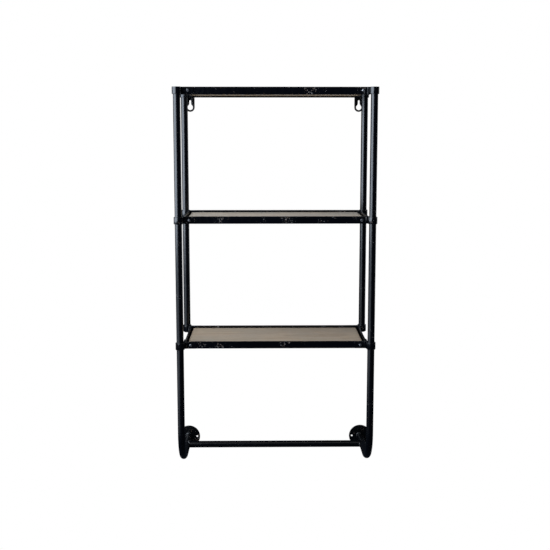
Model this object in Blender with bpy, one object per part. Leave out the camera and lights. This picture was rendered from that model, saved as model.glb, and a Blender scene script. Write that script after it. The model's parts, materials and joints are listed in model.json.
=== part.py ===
# Wall-hung shelf rack with a towel rail, as used above a toilet or a washbasin.
# Four tube posts carry three framed wooden shelves. The front posts run on below the
# shelves and bend back to the wall, and a towel rail joins the two returns.
#
# Metres, +Z up. The wall is the plane y = 0 and the rack stands out from it towards -Y.
# The origin is on the wall, midway between the two screws that the rack hangs on.

from math import atan2, cos, pi, radians, sin, sqrt

import bmesh
import bpy
from mathutils import Vector

# Clearance left between any two pieces that touch on the real rack
FIT = 0.0003

# Tube frame
POST_SPACING = 0.432        # between the post centrelines, left to right
FRONT_REACH = 0.200         # wall to the front posts' centreline
TUBE_DIAMETER = 0.016
TUBE_WALL = 0.0015
SHELF_PITCH = 0.285         # from one shelf's rim to the next
RETURN_DROP = 0.860         # rack top to the centreline of the returns and the towel rail
BEND_RADIUS = 0.078         # on the tube's centreline
TOWEL_RAIL_REACH = 0.060    # wall to the towel rail's centreline

# Shelf frames, mitred from steel angle, and the boards lying in them
RAIL_HEIGHT = 0.0165
RAIL_THICKNESS = 0.0035
RAIL_CLEARANCE = 0.0008     # post surface to the plane of the rails' outer faces
LEDGE_WIDTH = 0.015
LEDGE_THICKNESS = 0.003
BOARD_THICKNESS = 0.0085
BOARD_GAP = 0.0045          # between a board's edge and the rail beside it
BOARD_BEVEL = 0.0008

# Corner brackets: a collar round the post with two tabs along the frame's corner
COLLAR_WALL = 0.002
COLLAR_HEIGHT = 0.0155
TAB_THICKNESS = 0.002
TAB_REACH = 0.0365          # post centreline to the end of a tab

# Bracket screws
SCREW_REACH = 0.0235        # post centreline to the screw
SHANK_DIAMETER = 0.0034
SHANK_LENGTH = 0.008
HEAD_DIAMETER = 0.0066
HEAD_HEIGHT = 0.0022

# Plugs that close the tube ends
PLUG_RIM = 0.0015
PLUG_STEM = 0.008

# Wall flanges at the ends of the returns
FLANGE_DIAMETER = 0.055
FLANGE_THICKNESS = 0.003
FLANGE_HOLE_DIAMETER = 0.0045
FLANGE_HOLE_RADIUS = 0.0204

# Hanger plates with keyholes
HANGER_THICKNESS = 0.0025
HANGER_WIDTH = 0.0212
HANGER_INSET = 0.013        # post centreline to the keyhole's centreline
HANGER_TOP_DROP = 0.002     # rack top to the plate's top edge
HANGER_CORNER = 0.002
KEYHOLE_DROP = 0.0389       # rack top to the centre of the keyhole's round end
KEYHOLE_RADIUS = 0.0064
KEYHOLE_SLOT = 0.0042
KEYHOLE_RISE = 0.015        # centre of the round end to the centre of the slot's top
KEYHOLE_FILLET = 0.008

ROUND_SIDES = 24
SMALL_SIDES = 12
BEND_STEPS = 12
FILLET_STEPS = 4
CUTTER_EXTRA = 0.002        # how far a cutter stands out past what it cuts

# What follows from the sizes above
tube_radius = TUBE_DIAMETER / 2
bore_radius = tube_radius - TUBE_WALL
collar_bore = tube_radius + FIT
collar_radius = collar_bore + COLLAR_WALL
rail_inset = tube_radius + RAIL_CLEARANCE
tab_inner = rail_inset - FIT
tab_outer = tab_inner - TAB_THICKNESS
post_x = POST_SPACING / 2
front_y = -FRONT_REACH
back_y = -(HANGER_THICKNESS + FIT + collar_radius)
rack_top = KEYHOLE_DROP - KEYHOLE_RISE
return_z = rack_top - RETURN_DROP
frame_x = post_x - rail_inset
frame_front = front_y + rail_inset
frame_back = back_y - rail_inset
screw_x = post_x - SCREW_REACH

SHELF_TOPS = {
    "top": rack_top,
    "middle": rack_top - SHELF_PITCH,
    "bottom": rack_top - 2 * SHELF_PITCH,
}
SIDES = {"left": -1, "right": 1}
POST_ROWS = {"front": front_y, "back": back_y}

# name: (base colour, roughness, metallic)
FINISHES = {
    "post_paint": ((0.014, 0.016, 0.024), 0.38, 0.0),
    "rail_paint": ((0.012, 0.013, 0.019), 0.45, 0.0),
    "bracket_paint": ((0.016, 0.018, 0.026), 0.42, 0.0),
    "flange_paint": ((0.010, 0.011, 0.014), 0.50, 0.0),
    "hanger_paint": ((0.010, 0.011, 0.013), 0.50, 0.0),
    "screw_steel": ((0.090, 0.092, 0.100), 0.40, 0.6),
    "plug_plastic": ((0.014, 0.015, 0.020), 0.50, 0.0),
    "shelf_wood": ((0.230, 0.190, 0.150), 0.60, 0.0),
}


def clear_scene():
    for obj in list(bpy.data.objects):
        bpy.data.objects.remove(obj)


def make_finishes():
    for name, (colour, roughness, metallic) in FINISHES.items():
        material = bpy.data.materials.new(name)
        material.use_nodes = True
        material.diffuse_color = (*colour, 1.0)
        shader = material.node_tree.nodes["Principled BSDF"]
        shader.inputs["Base Color"].default_value = (*colour, 1.0)
        shader.inputs["Roughness"].default_value = roughness
        shader.inputs["Metallic"].default_value = metallic


def add_object(name, bm, finish=None, smooth=False):
    """Turn a bmesh into an object of the scene, facing outwards."""
    bmesh.ops.recalc_face_normals(bm, faces=bm.faces)
    mesh = bpy.data.meshes.new(name)
    bm.to_mesh(mesh)
    bm.free()
    if smooth:
        mesh.shade_smooth()
        mesh.set_sharp_from_angle(angle=radians(30))
    if finish:
        mesh.materials.append(bpy.data.materials[finish])
    obj = bpy.data.objects.new(name, mesh)
    bpy.context.scene.collection.objects.link(obj)
    return obj


def as_cutter(obj):
    obj.hide_render = True
    obj.display_type = "WIRE"
    return obj


def cut(obj, cutter):
    modifier = obj.modifiers.new("Cut " + cutter.name, "BOOLEAN")
    modifier.operation = "DIFFERENCE"
    modifier.object = cutter


# Shapes

def circle(radius, sides, centre=(0.0, 0.0)):
    return [
        (centre[0] + radius * cos(2 * pi * i / sides), centre[1] + radius * sin(2 * pi * i / sides))
        for i in range(sides)
    ]


def arc(centre, radius, start, end, steps):
    """Points along an arc, both ends included."""
    turns = [start + (end - start) * i / steps for i in range(steps + 1)]
    return [(centre[0] + radius * cos(a), centre[1] + radius * sin(a)) for a in turns]


def prism(outline, holes, height):
    """A flat plate from z = 0 to height, with holes right through it."""
    bm = bmesh.new()
    edges = []
    for loop in [outline, *holes]:
        corners = [bm.verts.new((x, y, 0.0)) for x, y in loop]
        edges += [bm.edges.new((corners[i - 1], corners[i])) for i in range(len(corners))]
    faces = bmesh.ops.triangle_fill(bm, edges=edges, use_beauty=True)["geom"]
    raised = bmesh.ops.extrude_face_region(bm, geom=faces)["geom"]
    raised = [part for part in raised if isinstance(part, bmesh.types.BMVert)]
    bmesh.ops.translate(bm, verts=raised, vec=(0.0, 0.0, height))
    # The extrusion leaves the first faces in place, so they close the underside.
    return bm


def hollow_tube(stations, side, outer, inner):
    """A tube swept along (point, direction) stations that stay square to the side vector."""
    bm = bmesh.new()
    rings = []
    for point, direction in stations:
        across = direction.cross(side)
        for radius in (outer, inner):
            rings.append([
                bm.verts.new(point + side * x + across * y) for x, y in circle(radius, ROUND_SIDES)
            ])
    walls = [(i, i + 2) for i in range(len(rings) - 2)]
    ends = [(0, 1), (len(rings) - 2, len(rings) - 1)]
    for first, second in walls + ends:
        for i in range(ROUND_SIDES):
            bm.faces.new((rings[first][i - 1], rings[first][i], rings[second][i], rings[second][i - 1]))
    return bm


def turned(profile, sides):
    """A solid turned about Z from (radius, z) points that start and end on the axis."""
    bm = bmesh.new()
    rows = []
    for radius, z in profile:
        if radius == 0.0:
            rows.append([bm.verts.new((0.0, 0.0, z))] * sides)
        else:
            rows.append([bm.verts.new((x, y, z)) for x, y in circle(radius, sides)])
    for low, high in zip(rows, rows[1:]):
        for i in range(sides):
            ring = [low[i - 1], low[i], high[i], high[i - 1]]
            bm.faces.new(list(dict.fromkeys(ring)))
    return bm


# Tube frame

def front_post_stations(x):
    top = rack_top - PLUG_RIM - FIT
    down = Vector((0.0, 0.0, -1.0))
    back = Vector((0.0, 1.0, 0.0))
    stations = [(Vector((x, front_y, top)), down)]
    for i in range(BEND_STEPS + 1):
        turn = pi / 2 * i / BEND_STEPS
        y = front_y + BEND_RADIUS * (1 - cos(turn))
        z = return_z + BEND_RADIUS * (1 - sin(turn))
        stations.append((Vector((x, y, z)), down * cos(turn) + back * sin(turn)))
    wall_end = -(FLANGE_THICKNESS + FIT)
    stations.append((Vector((x, wall_end, return_z)), back))
    return stations


def back_post_stations(x):
    top = rack_top - PLUG_RIM - FIT
    foot = SHELF_TOPS["bottom"] - RAIL_HEIGHT
    down = Vector((0.0, 0.0, -1.0))
    return [(Vector((x, back_y, top)), down), (Vector((x, back_y, foot)), down)]


def make_posts():
    side = Vector((1.0, 0.0, 0.0))
    for where, sign in SIDES.items():
        x = sign * post_x
        for row, stations in (("front", front_post_stations(x)), ("back", back_post_stations(x))):
            bm = hollow_tube(stations, side, tube_radius, bore_radius)
            add_object(f"{row}_post_{where}", bm, "post_paint", smooth=True)


def make_towel_rail():
    """A tube between the returns, its ends shaped to sit against them."""
    along = Vector((1.0, 0.0, 0.0))
    side = Vector((0.0, 1.0, 0.0))
    ends = [Vector((sign * post_x, -TOWEL_RAIL_REACH, return_z)) for sign in (-1, 1)]
    bm = hollow_tube([(end, along) for end in ends], side, tube_radius, bore_radius)
    rail = add_object("towel_rail", bm, "post_paint", smooth=True)
    length = TUBE_DIAMETER + 2 * CUTTER_EXTRA
    for where, sign in SIDES.items():
        bm = prism(circle(tube_radius + FIT, 2 * ROUND_SIDES), [], length)
        cope = as_cutter(add_object(f"cutter_cope_{where}", bm))
        cope.rotation_euler = (pi / 2, 0.0, 0.0)
        cope.location = (sign * post_x, -TOWEL_RAIL_REACH + length / 2, return_z)
        cut(rail, cope)


def plug_profile():
    stem = bore_radius - FIT
    return [
        (0.0, -PLUG_STEM),
        (stem, -PLUG_STEM),
        (stem, 0.0),
        (tube_radius, 0.0),
        (tube_radius, PLUG_RIM * 0.5),
        (tube_radius - PLUG_RIM * 0.5, PLUG_RIM * 0.9),
        (0.0, PLUG_RIM),
    ]


def make_plugs():
    for where, sign in SIDES.items():
        for row, y in POST_ROWS.items():
            bm = turned(plug_profile(), ROUND_SIDES)
            cap = add_object(f"post_cap_{row}_{where}", bm, "plug_plastic", smooth=True)
            cap.location = (sign * post_x, y, rack_top - PLUG_RIM)
        bm = turned(plug_profile(), ROUND_SIDES)
        foot = add_object(f"back_post_plug_{where}", bm, "plug_plastic", smooth=True)
        foot.rotation_euler = (pi, 0.0, 0.0)
        foot.location = (sign * post_x, back_y, SHELF_TOPS["bottom"] - RAIL_HEIGHT - FIT)


def make_flanges():
    for where, sign in SIDES.items():
        holes = [
            circle(FLANGE_HOLE_DIAMETER / 2, SMALL_SIDES, (reach, 0.0))
            for reach in (-FLANGE_HOLE_RADIUS, FLANGE_HOLE_RADIUS)
        ]
        bm = prism(circle(FLANGE_DIAMETER / 2, 2 * ROUND_SIDES), holes, FLANGE_THICKNESS)
        flange = add_object(f"wall_flange_{where}", bm, "flange_paint", smooth=True)
        flange.rotation_euler = (pi / 2, 0.0, 0.0)
        flange.location = (sign * post_x, 0.0, return_z)


# Shelves

def mitred_rail(half_length):
    """An angle rail along X, its outer face on y = 0, its rim at z = 0 and its ends mitred."""
    profile = [
        (0.0, 0.0),
        (0.0, -RAIL_HEIGHT),
        (LEDGE_WIDTH, -RAIL_HEIGHT),
        (LEDGE_WIDTH, LEDGE_THICKNESS - RAIL_HEIGHT),
        (RAIL_THICKNESS, LEDGE_THICKNESS - RAIL_HEIGHT),
        (RAIL_THICKNESS, 0.0),
    ]
    mitre_gap = FIT / sqrt(2)
    bm = bmesh.new()
    ends = []
    for sign in (-1, 1):
        ends.append([
            bm.verts.new((sign * (half_length - depth - mitre_gap), depth, z)) for depth, z in profile
        ])
        bm.faces.new(ends[-1])
    for i in range(len(profile)):
        bm.faces.new((ends[0][i - 1], ends[0][i], ends[1][i], ends[1][i - 1]))
    return bm


def make_shelf_frame(shelf, rim):
    middle_y = (frame_front + frame_back) / 2
    half_depth = (frame_back - frame_front) / 2
    # side: (half length, turn about Z, x, y)
    rails = {
        "front": (frame_x, 0.0, 0.0, frame_front),
        "right": (half_depth, pi / 2, frame_x, middle_y),
        "back": (frame_x, pi, 0.0, frame_back),
        "left": (half_depth, -pi / 2, -frame_x, middle_y),
    }
    for side, (half_length, turn, x, y) in rails.items():
        rail = add_object(f"{shelf}_rail_{side}", mitred_rail(half_length), "rail_paint")
        rail.rotation_euler = (0.0, 0.0, turn)
        rail.location = (x, y, rim)


def make_board(shelf, rim):
    margin = RAIL_THICKNESS + BOARD_GAP
    size = (
        2 * (frame_x - margin),
        frame_back - frame_front - 2 * margin,
        BOARD_THICKNESS,
    )
    bm = bmesh.new()
    bmesh.ops.create_cube(bm, size=1.0)
    bmesh.ops.scale(bm, verts=bm.verts, vec=size)
    board = add_object(f"{shelf}_board", bm, "shelf_wood")
    underside = rim - RAIL_HEIGHT + LEDGE_THICKNESS + FIT
    board.location = (0.0, (frame_front + frame_back) / 2, underside + BOARD_THICKNESS / 2)
    bevel = board.modifiers.new("Eased edges", "BEVEL")
    bevel.width = BOARD_BEVEL
    bevel.segments = 2


# Corner brackets

def bracket_outline():
    """A collar round the origin, and tabs along +X and +Y that hug the frame's corner."""
    meet = sqrt(collar_radius ** 2 - tab_outer ** 2)
    start = atan2(meet, tab_outer)
    end = atan2(tab_outer, meet) + 2 * pi
    collar = arc((0.0, 0.0), collar_radius, start, end, ROUND_SIDES)
    tabs = [
        (TAB_REACH, tab_outer),
        (TAB_REACH, tab_inner),
        (tab_inner, tab_inner),
        (tab_inner, TAB_REACH),
        (tab_outer, TAB_REACH),
    ]
    return collar + tabs


def screw_profile():
    head = HEAD_DIAMETER / 2
    shank = SHANK_DIAMETER / 2
    return [
        (0.0, -SHANK_LENGTH),
        (shank * 0.6, -SHANK_LENGTH),
        (shank, -SHANK_LENGTH + shank * 0.6),
        (shank, 0.0),
        (head, 0.0),
        (head, HEAD_HEIGHT * 0.4),
        (head * 0.8, HEAD_HEIGHT * 0.85),
        (head * 0.4, HEAD_HEIGHT),
        (0.0, HEAD_HEIGHT),
    ]


def make_bracket(shelf, rim, row, where, turn):
    """One bracket with its screw, and the screw's hole through the bracket and the rail."""
    sign = SIDES[where]
    inwards = 1 if row == "front" else -1
    x, y = sign * post_x, POST_ROWS[row]
    middle_z = rim - RAIL_HEIGHT / 2
    bm = prism(bracket_outline(), [circle(collar_bore, ROUND_SIDES)], COLLAR_HEIGHT)
    bracket = add_object(f"{shelf}_bracket_{row}_{where}", bm, "bracket_paint", smooth=True)
    bracket.rotation_euler = (0.0, 0.0, turn)
    bracket.location = (x, y, middle_z - COLLAR_HEIGHT / 2)

    seat_y = y + inwards * (tab_outer - FIT)
    facing = (inwards * pi / 2, 0.0, 0.0)
    bm = turned(screw_profile(), SMALL_SIDES)
    screw = add_object(f"{shelf}_screw_{row}_{where}", bm, "screw_steel", smooth=True)
    screw.rotation_euler = facing
    screw.location = (sign * screw_x, seat_y, middle_z)

    length = SHANK_LENGTH + 2 * CUTTER_EXTRA
    bm = prism(circle(SHANK_DIAMETER / 2 + FIT, SMALL_SIDES), [], length)
    drill = as_cutter(add_object(f"cutter_{shelf}_{row}_{where}", bm))
    drill.rotation_euler = facing
    drill.location = (sign * screw_x, seat_y + inwards * (length - CUTTER_EXTRA), middle_z)
    cut(bracket, drill)
    cut(bpy.data.objects[f"{shelf}_rail_{row}"], drill)


def make_brackets(shelf, rim):
    corners = [("front", "left"), ("front", "right"), ("back", "right"), ("back", "left")]
    for quarter, (row, where) in enumerate(corners):
        make_bracket(shelf, rim, row, where, quarter * pi / 2)


# Hanger plates

def keyhole_outline():
    """A round hole at the origin that narrows smoothly into a slot above it."""
    half_slot = KEYHOLE_SLOT / 2
    fillet_x = half_slot + KEYHOLE_FILLET
    fillet_y = sqrt((KEYHOLE_RADIUS + KEYHOLE_FILLET) ** 2 - fillet_x ** 2)
    leave = atan2(fillet_y, fillet_x)
    outline = arc((0.0, 0.0), KEYHOLE_RADIUS, pi - leave, 2 * pi + leave, ROUND_SIDES)
    outline += arc((fillet_x, fillet_y), KEYHOLE_FILLET, pi + leave, pi, FILLET_STEPS)[1:]
    outline += arc((0.0, KEYHOLE_RISE), half_slot, 0.0, pi, SMALL_SIDES // 2)
    outline += arc((-fillet_x, fillet_y), KEYHOLE_FILLET, 0.0, -leave, FILLET_STEPS)[:-1]
    return outline


def hanger_outline():
    half = HANGER_WIDTH / 2
    top = KEYHOLE_DROP - HANGER_TOP_DROP
    corners = [(half, top - HANGER_CORNER), (half - HANGER_CORNER, top)]
    corners += [(-x, y) for x, y in reversed(corners)]
    return corners + arc((0.0, 0.0), half, pi, 2 * pi, ROUND_SIDES // 2)


def make_hangers():
    for where, sign in SIDES.items():
        bm = prism(hanger_outline(), [keyhole_outline()], HANGER_THICKNESS)
        hanger = add_object(f"hanger_plate_{where}", bm, "hanger_paint", smooth=True)
        hanger.rotation_euler = (pi / 2, 0.0, 0.0)
        hanger.location = (sign * (post_x - HANGER_INSET), 0.0, rack_top - KEYHOLE_DROP)


clear_scene()
make_finishes()
make_posts()
make_towel_rail()
make_plugs()
make_flanges()
for shelf_name, rim_z in SHELF_TOPS.items():
    make_shelf_frame(shelf_name, rim_z)
    make_board(shelf_name, rim_z)
    make_brackets(shelf_name, rim_z)
make_hangers()
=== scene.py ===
import json
from math import atan2, ceil, cos, pi, radians, sin, sqrt, tan

import bmesh
import bpy
from mathutils import Matrix, Vector, noise

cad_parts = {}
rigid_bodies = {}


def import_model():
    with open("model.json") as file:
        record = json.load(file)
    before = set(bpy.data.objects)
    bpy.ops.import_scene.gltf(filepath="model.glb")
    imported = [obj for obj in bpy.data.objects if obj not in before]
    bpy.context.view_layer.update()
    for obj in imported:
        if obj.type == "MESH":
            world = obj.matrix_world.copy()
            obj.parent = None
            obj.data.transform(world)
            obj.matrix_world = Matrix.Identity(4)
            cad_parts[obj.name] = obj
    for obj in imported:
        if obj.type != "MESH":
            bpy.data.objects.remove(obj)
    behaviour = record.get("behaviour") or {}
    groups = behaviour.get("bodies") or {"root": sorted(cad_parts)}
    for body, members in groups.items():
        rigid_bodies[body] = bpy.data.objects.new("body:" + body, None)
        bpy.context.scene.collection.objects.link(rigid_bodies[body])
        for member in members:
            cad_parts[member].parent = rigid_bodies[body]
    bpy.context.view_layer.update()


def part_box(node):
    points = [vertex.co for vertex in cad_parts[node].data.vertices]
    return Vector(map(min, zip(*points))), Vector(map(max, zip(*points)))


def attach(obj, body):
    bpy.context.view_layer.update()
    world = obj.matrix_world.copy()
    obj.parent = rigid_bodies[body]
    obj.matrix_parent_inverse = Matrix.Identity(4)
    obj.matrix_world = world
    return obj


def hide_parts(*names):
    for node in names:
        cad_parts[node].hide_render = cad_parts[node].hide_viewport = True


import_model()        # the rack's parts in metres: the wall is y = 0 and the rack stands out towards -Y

scene = bpy.context.scene
mm = 0.001
sides = {"left": -1, "right": 1}
rows = ("front", "back")
shelves = ("top", "middle", "bottom")

# Places read off the parts
frontLow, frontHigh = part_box("front_post_right")
backLow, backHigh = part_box("back_post_right")
tubeRadius = (frontHigh.x - frontLow.x) / 2
postX = (frontHigh.x + frontLow.x) / 2
rowY = {"front": frontLow.y + tubeRadius, "back": (backLow.y + backHigh.y) / 2}
returnZ = frontLow.z + tubeRadius
seamGap = 0.15 * mm        # what is left between two pieces that meet
rightward, inward, upward = (Vector(axis) for axis in ((1.0, 0.0, 0.0), (0.0, 1.0, 0.0), (0.0, 0.0, 1.0)))


# Mesh tools

def fullTurn(count):
    return [2 * pi * i / count for i in range(count)]


def quarterTurn(steps):
    return [pi / 2 * i / steps for i in range(steps + 1)]


def ringAt(bm, centre, across, along, radius, count):
    turns = fullTurn(count)
    return [bm.verts.new(centre + across * radius * cos(t) + along * radius * sin(t)) for t in turns]


def skin(bm, rings, closed=False, capped=False):
    pairs = list(zip(rings, rings[1:]))
    if closed:
        pairs.append((rings[-1], rings[0]))
    for low, high in pairs:
        for i in range(len(low)):
            corners = [low[i - 1], low[i], high[i], high[i - 1]]
            bm.faces.new(list(dict.fromkeys(corners)))
    if capped:
        bm.faces.new(rings[0])
        bm.faces.new(rings[-1])


def turned(profile, count, threadPitch=0.0, threadDepth=0.0):
    # Turned about Z from (radius, z) points. A thread lets the shank's radius rise and fall along a helix.
    bm = bmesh.new()
    rings = []
    for radius, z in profile:
        if radius == 0.0:
            rings.append([bm.verts.new((0.0, 0.0, z))] * count)
            continue
        ring = []
        for i in range(count):
            turn = i / count
            depth = 0.0
            if threadPitch and z < 0.0:
                lift = (z / threadPitch + turn) % 1.0
                depth = threadDepth * abs(2.0 * lift - 1.0)
            ring.append(bm.verts.new((
                (radius - depth) * cos(2 * pi * turn), (radius - depth) * sin(2 * pi * turn), z)))
        rings.append(ring)
    skin(bm, rings)
    return bm


def roundedOutline(corners, steps=5):
    # corners are (x, y, radius), counter-clockwise
    points = []
    for i, (x, y, radius) in enumerate(corners):
        here = Vector((x, y))
        if radius == 0.0:
            points.append(here)
            continue
        before = (Vector(corners[i - 1][:2]) - here).normalized()
        after = (Vector(corners[(i + 1) % len(corners)][:2]) - here).normalized()
        half = before.angle(after) / 2
        centre = here + (before + after).normalized() * radius / sin(half)
        start = here + before * radius / tan(half) - centre
        end = here + after * radius / tan(half) - centre
        points += [centre + start.lerp(end, k / steps).normalized() * radius for k in range(steps + 1)]
    return points


def arcPoints(centre, radius, start, end, steps):
    turns = [start + (end - start) * i / steps for i in range(steps + 1)]
    return [Vector((centre[0] + radius * cos(t), centre[1] + radius * sin(t))) for t in turns]


def circlePoints(x, radius, count):
    return [Vector((x + radius * cos(t), radius * sin(t))) for t in fullTurn(count)]


def offsetLoop(points, distance):
    # Moves each point of a counter-clockwise loop inwards by the distance
    moved = []
    for i, here in enumerate(points):
        before = (here - points[i - 1]).normalized()
        after = (points[(i + 1) % len(points)] - here).normalized()
        normal = Vector((-before.y - after.y, before.x + after.x)).normalized()
        lean = max(0.5, normal.dot(Vector((-before.y, before.x))))
        moved.append(here + normal * distance / lean)
    return moved


def plate(outline, holes, thickness, edge, edgeSteps=3):
    # A flat plate from z = 0 up, with round edges along the outline and every hole
    bm = bmesh.new()
    levels = [(edge * (1 - sin(t)), edge * (1 - cos(t))) for t in quarterTurn(edgeSteps)]
    levels += [(inset, thickness - z) for inset, z in reversed(levels)]
    caps = {0: [], len(levels) - 1: []}
    for loop, sign in [(outline, 1)] + [(hole, -1) for hole in holes]:
        rings = []
        for inset, z in levels:
            rings.append([bm.verts.new((p.x, p.y, z)) for p in offsetLoop(loop, sign * inset)])
        skin(bm, rings)
        for level in caps:
            caps[level].append(rings[level])
    for rims in caps.values():
        edges = [bm.edges.get((ring[i - 1], ring[i])) for ring in rims for i in range(len(ring))]
        bmesh.ops.triangle_fill(bm, edges=edges, use_beauty=True)
    return bm


def placed(x, y, z, turn, axis):
    return Matrix.Translation((x, y, z)) @ Matrix.Rotation(turn, 4, axis)


def meshObject(name, bm):
    bmesh.ops.recalc_face_normals(bm, faces=bm.faces)
    mesh = bpy.data.meshes.new(name)
    bm.to_mesh(mesh)
    bm.free()
    made = bpy.data.objects.new(name, mesh)
    scene.collection.objects.link(made)
    return made


def addPiece(name, bm, finish, nodes=(), crease=32.0, at=None):
    # Faces that meet at more than the crease, in degrees, keep a sharp edge
    piece = meshObject(name, bm)
    piece.data.shade_smooth()
    piece.data.set_sharp_from_angle(angle=radians(crease))
    piece.data.materials.append(finish)
    if at is not None:
        piece.matrix_world = at
    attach(piece, "root")
    if nodes:
        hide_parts(*nodes)
    return piece


# Camera

cameraPlace = {
    "location": (-0.026, -2.123, -0.081),
    "turn": 0.73,        # degrees, towards +X
    "tilt": 7.48,        # degrees, downwards
    "lens": 56.9,
    "lift": -0.047,
}


def makeCamera():
    data = bpy.data.cameras.new("viewCamera")
    data.lens = cameraPlace["lens"]
    data.shift_y = cameraPlace["lift"]
    camera = bpy.data.objects.new("viewCamera", data)
    camera.location = cameraPlace["location"]
    camera.rotation_euler = (radians(90 - cameraPlace["tilt"]), 0.0, -radians(cameraPlace["turn"]))
    scene.collection.objects.link(camera)
    scene.camera = camera


makeCamera()
print("camera placed")


# Node tools

def addNode(tree, kind, at, inputs=(), **settings):
    # An input that is given another node's socket is linked, and any other value is set
    node = tree.nodes.new("ShaderNode" + kind)
    node.location = at
    for name, value in settings.items():
        setattr(node, name, value)
    for name, value in dict(inputs).items():
        if isinstance(value, bpy.types.NodeSocket):
            tree.links.new(value, node.inputs[name])
        else:
            node.inputs[name].default_value = value
    return node


def mathOf(tree, operation, at, *values):
    node = addNode(tree, "Math", at, enumerate(values), operation=operation)
    return node.outputs[0]


def linkInto(tree, node, sockets):
    for name, socket in sockets.items():
        tree.links.new(socket, node.inputs[name])


def noiseOf(tree, at, vector, scale, detail, roughness=0.5):
    inputs = {"Vector": vector, "Scale": scale, "Detail": detail, "Roughness": roughness}
    return addNode(tree, "TexNoise", at, inputs).outputs["Fac"]


def stretchOf(tree, at, vector, scale):
    return addNode(tree, "Mapping", at, {"Vector": vector, "Scale": scale}).outputs[0]


def blendOf(tree, at, factor, *colours):
    first, second = (c if isinstance(c, bpy.types.NodeSocket) else (*c, 1.0) for c in colours)
    return addNode(tree, "Mix", at, {0: factor, 6: first, 7: second}, data_type="RGBA").outputs[2]


def rangeOf(tree, at, value, low, high, toLow=0.0, toHigh=1.0, smooth=False):
    inputs = {"Value": value, "From Min": low, "From Max": high, "To Min": toLow, "To Max": toHigh}
    kind = "SMOOTHSTEP" if smooth else "LINEAR"
    return addNode(tree, "MapRange", at, inputs, interpolation_type=kind).outputs["Result"]


def newGroup(name, inputs, outputs):
    # inputs are (name, starting value), where None is a vector
    group = bpy.data.node_groups.new(name, "ShaderNodeTree")
    for label, value in inputs:
        kind = "NodeSocketVector" if value is None else "NodeSocketFloat"
        socket = group.interface.new_socket(name=label, in_out="INPUT", socket_type=kind)
        if value is not None:
            socket.default_value = value
    for label in outputs:
        group.interface.new_socket(name=label, in_out="OUTPUT", socket_type="NodeSocketFloat")
    groupIn = group.nodes.new("NodeGroupInput")
    groupIn.location = (-1000, 0)
    groupOut = group.nodes.new("NodeGroupOutput")
    groupOut.location = (800, 0)
    return group, groupIn.outputs, groupOut


def useGroup(tree, name, at, inputs):
    return addNode(tree, "Group", at, inputs, node_tree=bpy.data.node_groups[name]).outputs


def newMaterial(name):
    # place is where a point lies on the piece, in metres
    material = bpy.data.materials.new(name)
    material.use_nodes = True
    tree = material.node_tree
    shader = tree.nodes["Principled BSDF"]
    shader.location = (1100, 0)
    tree.nodes["Material Output"].location = (1400, 0)
    place = addNode(tree, "TexCoord", (-1400, 0)).outputs["Object"]
    return material, tree, shader, place


def reliefOf(tree, height, strength, distance):
    inputs = {"Height": height, "Strength": strength, "Distance": distance}
    return addNode(tree, "Bump", (700, -300), inputs).outputs[0]


# Effects shared by the finishes

def makePaintChips():
    # Small bare spots that come in patches
    inputs = [("Vector", None), ("Size", 0.0012), ("Amount", 0.3), ("Patch Size", 0.04)]
    group, get, put = newGroup("paintChips", inputs, ["Mask"])
    cutOff, amountReach, sharpness = 0.80, 0.2, 26.0
    fineScale = mathOf(group, "DIVIDE", (-800, 200), 1.0, get["Size"])
    patchScale = mathOf(group, "DIVIDE", (-800, -100), 1.0, get["Patch Size"])
    fine = noiseOf(group, (-600, 200), get["Vector"], fineScale, 3.0, 0.62)
    patch = noiseOf(group, (-600, -100), get["Vector"], patchScale, 2.0)
    patchLift = rangeOf(group, (-400, -100), patch, 0.42, 0.66, -0.18, 0.10)
    level = mathOf(group, "ADD", (-200, 100), fine, patchLift)
    lowered = mathOf(group, "MULTIPLY", (-400, -350), get["Amount"], amountReach)
    gate = mathOf(group, "SUBTRACT", (-200, -250), cutOff, lowered)
    past = mathOf(group, "SUBTRACT", (0, 0), level, gate)
    mask = mathOf(group, "MULTIPLY", (200, 0), past, sharpness)
    clamped = addNode(group, "Clamp", (400, 0), {"Value": mask}).outputs[0]
    linkInto(group, put, {"Mask": clamped})


def makeEdgeWear():
    # Where the surface turns a corner, broken up by noise
    inputs = [("Vector", None), ("Width", 0.001), ("Amount", 0.5), ("Break Size", 0.003)]
    group, get, put = newGroup("edgeWear", inputs, ["Mask"])
    cutOff, amountReach, feather, patchScale = 0.86, 0.4, 0.05, 21.0
    soft = addNode(group, "Bevel", (-700, 200), {"Radius": get["Width"]}, samples=6).outputs[0]
    plain = addNode(group, "NewGeometry", (-700, 0)).outputs["Normal"]
    match = addNode(group, "VectorMath", (-500, 100), {0: soft, 1: plain}, operation="DOT_PRODUCT")
    corner = rangeOf(group, (-300, 100), match.outputs["Value"], 0.985, 0.86)
    breakScale = mathOf(group, "DIVIDE", (-700, -200), 1.0, get["Break Size"])
    breaks = noiseOf(group, (-500, -200), get["Vector"], breakScale, 4.0, 0.65)
    patches = noiseOf(group, (-500, -400), get["Vector"], patchScale, 2.0)
    patchLift = rangeOf(group, (-300, -450), patches, 0.36, 0.64, -0.14, 0.10)
    worn = mathOf(group, "ADD", (-300, -300), breaks, patchLift)
    lowered = mathOf(group, "MULTIPLY", (-500, -600), get["Amount"], amountReach)
    gate = mathOf(group, "SUBTRACT", (-300, -600), cutOff, lowered)
    past = mathOf(group, "SUBTRACT", (-100, -400), worn, gate)
    broken = rangeOf(group, (0, -200), past, 0.0, feather)
    linkInto(group, put, {"Mask": mathOf(group, "MULTIPLY", (300, 0), corner, broken)})


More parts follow.
